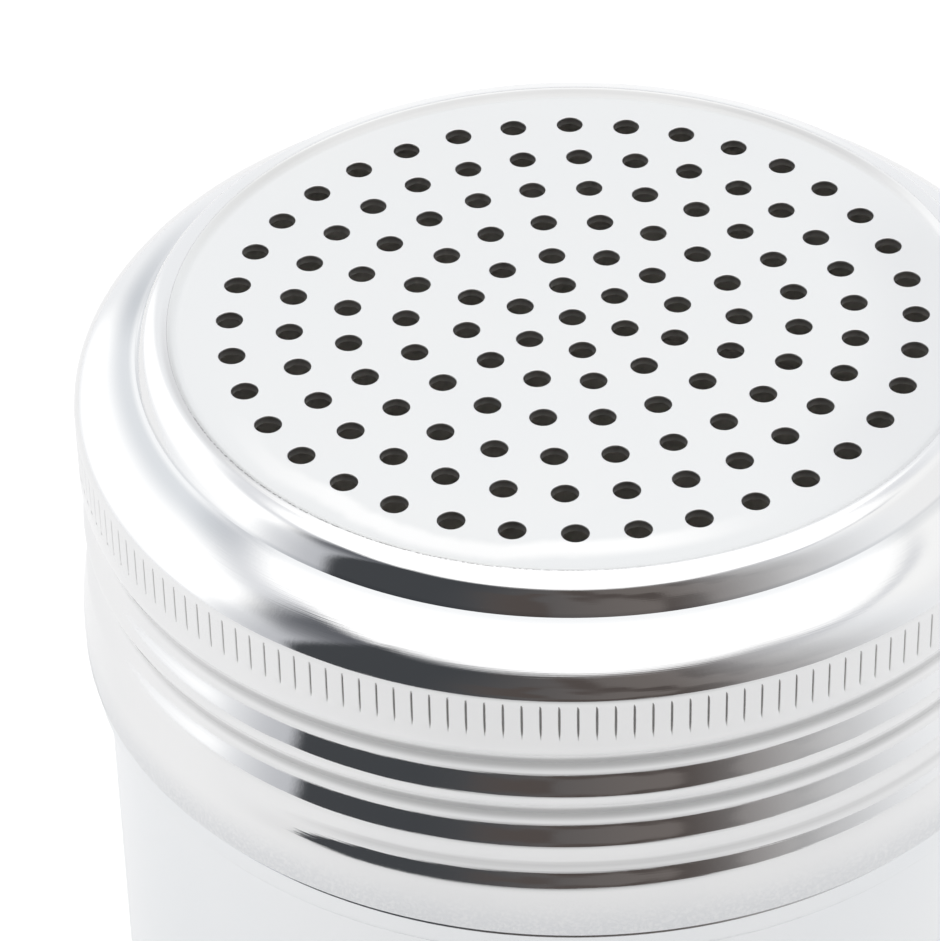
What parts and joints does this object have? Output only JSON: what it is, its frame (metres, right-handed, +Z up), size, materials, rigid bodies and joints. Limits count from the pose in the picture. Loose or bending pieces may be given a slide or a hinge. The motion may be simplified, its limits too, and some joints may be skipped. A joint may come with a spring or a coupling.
{
  "type": "spice shaker",
  "caption": "Cylindrical steel shaker for dry spices: a straight drawn can closed by a screw-on ring that holds a flat perforated disc.",
  "frame": {"origin": "centre of the can's flat bottom, on the ground the shaker stands on", "axes": "+Z up along the shaker's axis, +X to the viewer's right, -Y towards the viewer"},
  "size_m": [0.0728, 0.0728, 0.095],
  "materials": {
    "drawn_steel": "smooth drawn stainless steel, soft gloss",
    "polished_steel": "polished stainless steel",
    "satin_steel": "fine satin stainless steel"
  },
  "bodies": {
    "shaker_can": {"can": "drawn_steel"},
    "lid_plate": {"perforated_disc": "satin_steel"},
    "lid_ring": {"screw_ring": "polished_steel"}
  },
  "joints": [
    {"name": "lid_rise", "type": "slide", "parent": "shaker_can", "child": "lid_plate", "axis": [0, 0, 1], "range_m": [0, 0.0135]},
    {"name": "lid_turn", "type": "hinge", "parent": "lid_plate", "child": "lid_ring", "pos_m": [0, 0, 0.095], "axis": [0, 0, 1], "range_deg": [0, 1080]}
  ],
  "couplings": [
    {"joint": "lid_rise", "follows": "lid_turn", "m_per_rad": 0.0007162}
  ]
}
